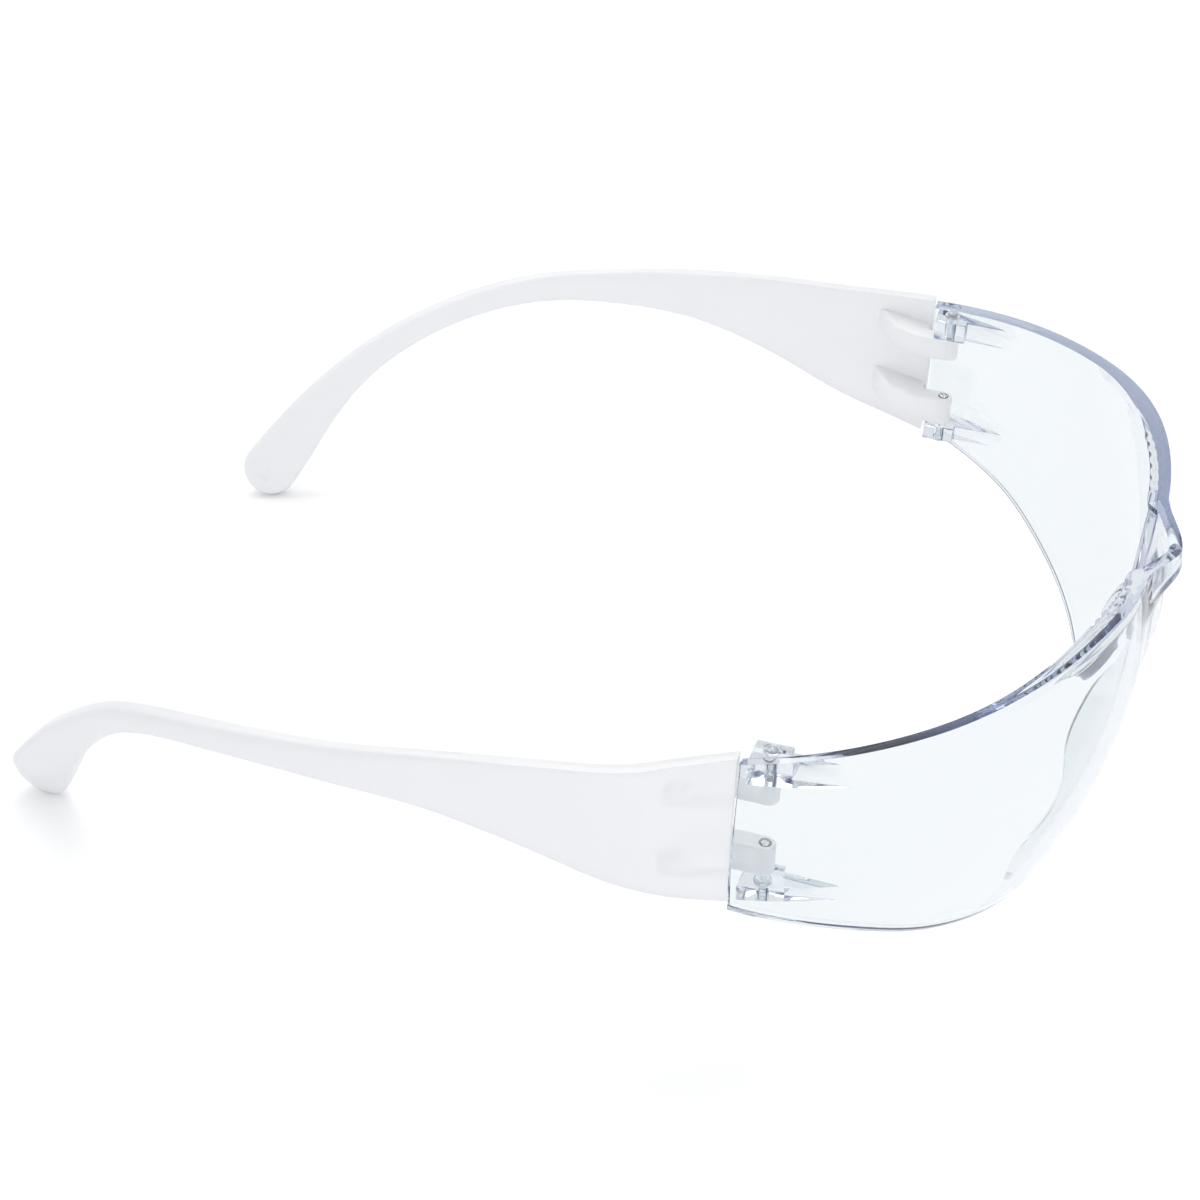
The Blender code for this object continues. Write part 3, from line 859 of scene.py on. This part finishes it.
class StageSettings(bpy.types.PropertyGroup):
    """Floor, light and camera."""

    floor_colour: FloatVectorProperty(
        name="Floor Colour",
        description="Colour of the paper floor",
        subtype="COLOR",
        size=3,
        min=0.0,
        max=1.0,
        default=linear_colour("#FAFAFA")[:3],
    )
    floor_size: FloatProperty(name="Floor Size", description="Side of the floor", default=30.0, unit="LENGTH")
    sky_strength: FloatProperty(name="Sky Strength", description="Brightness of the dome", default=1.0)
    key_power: FloatProperty(
        name="Key Power",
        description="Power of the overhead softbox",
        default=1.2,
        unit="POWER",
    )
    fill_power: FloatProperty(
        name="Fill Power",
        description="Power of the near softbox",
        default=0.09,
        unit="POWER",
    )
    focal_length: FloatProperty(name="Focal Length", description="Camera focal length, mm", default=77.3)


class GLASSES_OT_shield(bpy.types.Operator):
    """Build the clear lens shield with its bridge, nose pads and hinge lugs"""

    bl_idname = "glasses.shield"
    bl_label = "Lens Shield"
    bl_options = {"REGISTER", "UNDO"}

    def execute(self, context):
        settings = context.scene.glasses_shield
        wall = set_down("lens_wall", lens_wall(settings))
        piece = show("clear_lens_shield", wall, clear_polycarbonate(settings))
        additions = [
            set_down("bridge_bar", bridge_bar()),
            set_down("pocket_floor", pocket_floor(settings.wall)),
        ]
        holes = []
        for name, side in SIDES:
            additions.append(set_down(f"{name}_nose_pad", nose_pad(), side))
            for span in (UPPER_LUG, LOWER_LUG):
                additions.append(set_down(f"{name}_lug", lug(settings.wall, span), side))
                holes.append(set_down(f"{name}_bore", bore(span), side))
            for share in SCALLOP_SHARES:
                holes.append(set_down(f"{name}_scallop", scallop(settings, share), side))
        carve(piece, additions, holes, SHIELD_SHARP_EDGE)
        piece.visible_shadow = False  # clear plastic in an even light tent throws no shadow worth seeing
        piece.visible_diffuse = False
        settle(piece, "shield", "lens_shield")
        return {"FINISHED"}


class GLASSES_OT_temples(bpy.types.Operator):
    """Build both milky temples with their hinge tongues"""

    bl_idname = "glasses.temples"
    bl_label = "Temples"
    bl_options = {"REGISTER", "UNDO"}

    def execute(self, context):
        settings = context.scene.glasses_temples
        material = milky_polycarbonate(settings)
        for name, side in SIDES:
            arm = set_down(f"{name}_arm", temple_arm(settings), side)
            piece = show(f"{name}_temple_moulding", arm, material)
            spans = (UPPER_TONGUE, LOWER_TONGUE)
            additions = [set_down(f"{name}_tongue", tongue(span), side) for span in spans]
            holes = [set_down(f"{name}_bore", bore(span), side) for span in spans]
            holes += [set_down(f"{name}_dimple", cutter, side) for cutter in tip_dimples(settings)]
            carve(piece, additions, holes, SHARP_EDGE)
            settle(piece, f"{name}_temple_arm", f"{name}_temple")
        return {"FINISHED"}


class GLASSES_OT_pins(bpy.types.Operator):
    """Build the four hinge pins"""

    bl_idname = "glasses.pins"
    bl_label = "Hinge Pins"
    bl_options = {"REGISTER", "UNDO"}

    def execute(self, context):
        settings = context.scene.glasses_pins
        material = moulded_pin_plastic()
        spans = {
            "upper": (UPPER_TONGUE[0], UPPER_LUG[1] + GAP, True),
            "lower": (LOWER_LUG[0] - GAP, LOWER_TONGUE[1], False),
        }
        for name, side in SIDES:
            for level, (bottom, top, head_at_top) in spans.items():
                mesh = set_down(f"{name}_{level}_pin", pin(settings, bottom, top, head_at_top), side)
                mesh.set_sharp_from_angle(angle=PIN_SHARP_EDGE)
                piece = show(f"{name}_{level}_domed_pin", mesh, material)
                settle(piece, "shield", f"{name}_{level}_hinge_pin")
        return {"FINISHED"}


class GLASSES_OT_stage(bpy.types.Operator):
    """Set up the paper floor, the soft light and the camera"""

    bl_idname = "glasses.stage"
    bl_label = "Stage"
    bl_options = {"REGISTER", "UNDO"}

    def execute(self, context):
        settings = context.scene.glasses_stage
        self.add_floor(settings)
        self.add_sky(context.scene, settings)
        self.add_softbox(context.scene, settings.key_power, *KEY_SOFTBOX)
        self.add_softbox(context.scene, settings.fill_power, *FILL_SOFTBOX)
        self.add_camera(context.scene, settings)
        context.scene.view_settings.view_transform = "Standard"
        context.scene.cycles.max_bounces = WALL_BOUNCES
        context.scene.cycles.transmission_bounces = WALL_BOUNCES
        context.scene.cycles.glossy_bounces = WALL_BOUNCES
        return {"FINISHED"}

    def add_floor(self, settings):
        bm = bmesh.new()
        bmesh.ops.create_grid(bm, x_segments=1, y_segments=1, size=settings.floor_size / 2.0)
        mesh = bpy.data.meshes.new("paper_floor")
        bm.to_mesh(mesh)
        bm.free()
        show("paper_floor", mesh, matt_paper(settings))

    def add_sky(self, scene, settings):
        world = bpy.data.worlds.new("soft_studio")
        scene.world = world
        world.use_nodes = True
        tree = world.node_tree
        tree.nodes.clear()
        direction = add_node(tree, "ShaderNodeTexCoord")
        axes = add_node(tree, "ShaderNodeSeparateXYZ", inputs={"Vector": direction.outputs["Generated"]})
        rise = add_node(
            tree,
            "ShaderNodeMapRange",
            settings={"interpolation_type": "SMOOTHSTEP"},
            inputs={"Value": axes.outputs["Z"], "From Min": 0.02, "From Max": 0.34},
        )
        dome = add_node(
            tree,
            "ShaderNodeMix",
            settings={"data_type": "RGBA"},
            inputs={
                "Factor": rise.outputs["Result"],
                "A": linear_colour("#8191B8"),
                "B": linear_colour("#FFFFFF"),
            },
        )
        ray = add_node(tree, "ShaderNodeLightPath")
        seen = add_node(
            tree,
            "ShaderNodeMix",
            settings={"data_type": "RGBA"},
            inputs={
                "Factor": ray.outputs["Is Camera Ray"],
                "A": dome.outputs["Result"],
                "B": linear_colour("#FFFFFF"),
            },
        )
        strength = add_node(
            tree,
            "ShaderNodeMapRange",
            inputs={
                "Value": ray.outputs["Is Camera Ray"],
                "To Min": settings.sky_strength,
                "To Max": BACKDROP_STRENGTH,
            },
        )
        light = add_node(
            tree,
            "ShaderNodeBackground",
            inputs={"Color": seen.outputs["Result"], "Strength": strength.outputs["Result"]},
        )
        add_node(tree, "ShaderNodeOutputWorld", inputs={"Surface": light.outputs["Background"]})

    def add_softbox(self, scene, power, name, size, place, target):
        lamp = bpy.data.lights.new(name, "AREA")
        lamp.shape = "RECTANGLE"
        lamp.size, lamp.size_y = size
        lamp.energy = power
        softbox = bpy.data.objects.new(name, lamp)
        away = Vector(place) - Vector(target)
        softbox.matrix_world = Matrix.Translation(place) @ away.to_track_quat("Z", "Y").to_matrix().to_4x4()
        scene.collection.objects.link(softbox)

    def add_camera(self, scene, settings):
        lens = bpy.data.cameras.new("three_quarter_view")
        lens.lens = settings.focal_length
        lens.sensor_width = SENSOR_WIDTH
        lens.shift_x, lens.shift_y = CAMERA_SHIFT
        lens.clip_start = 0.01
        lens.clip_end = 100.0
        camera = bpy.data.objects.new("three_quarter_view", lens)
        scene.collection.objects.link(camera)
        flat = cos(CAMERA_ELEVATION)
        backward = Vector((sin(CAMERA_AZIMUTH) * flat, -cos(CAMERA_AZIMUTH) * flat, sin(CAMERA_ELEVATION)))
        level = Vector((cos(CAMERA_AZIMUTH), sin(CAMERA_AZIMUTH), 0.0))
        upward = backward.cross(level)
        across = cos(CAMERA_ROLL) * level + sin(CAMERA_ROLL) * upward
        upward = backward.cross(across)
        axes = Matrix((across, upward, backward)).transposed().to_4x4()
        placed = WORN_TO_TABLE @ Vector(CAMERA_PLACE)
        camera.matrix_world = Matrix.Translation(placed) @ LEAN_TURN @ axes
        scene.camera = camera


class GLASSES_PT_builder(bpy.types.Panel):
    """Sizes, colours and build buttons for the safety glasses"""

    bl_idname = "GLASSES_PT_builder"
    bl_label = "Safety Glasses"
    bl_space_type = "VIEW_3D"
    bl_region_type = "UI"
    bl_category = "Safety Glasses"

    def draw(self, context):
        for operator, settings in BUILD_ORDER:
            box = self.layout.box()
            group = getattr(context.scene, settings)
            for name in group.__annotations__:
                box.prop(group, name)
            box.operator(operator)


BUILD_ORDER = (
    ("glasses.shield", "glasses_shield"),
    ("glasses.temples", "glasses_temples"),
    ("glasses.pins", "glasses_pins"),
    ("glasses.stage", "glasses_stage"),
)
SETTINGS = {
    "glasses_shield": ShieldSettings,
    "glasses_temples": TempleSettings,
    "glasses_pins": PinSettings,
    "glasses_stage": StageSettings,
}
CLASSES = (
    *SETTINGS.values(),
    GLASSES_OT_shield,
    GLASSES_OT_temples,
    GLASSES_OT_pins,
    GLASSES_OT_stage,
    GLASSES_PT_builder,
)


def register():
    for made in CLASSES:
        bpy.utils.register_class(made)
    for name, group in SETTINGS.items():
        setattr(bpy.types.Scene, name, PointerProperty(type=group))


def unregister():
    for name in SETTINGS:
        delattr(bpy.types.Scene, name)
    for made in reversed(CLASSES):
        bpy.utils.unregister_class(made)


def main():
    register()
    bpy.ops.glasses.shield()
    bpy.ops.glasses.temples()
    bpy.ops.glasses.pins()
    bpy.ops.glasses.stage()
    bpy.context.view_layer.update()


if __name__ == "__main__":
    main()
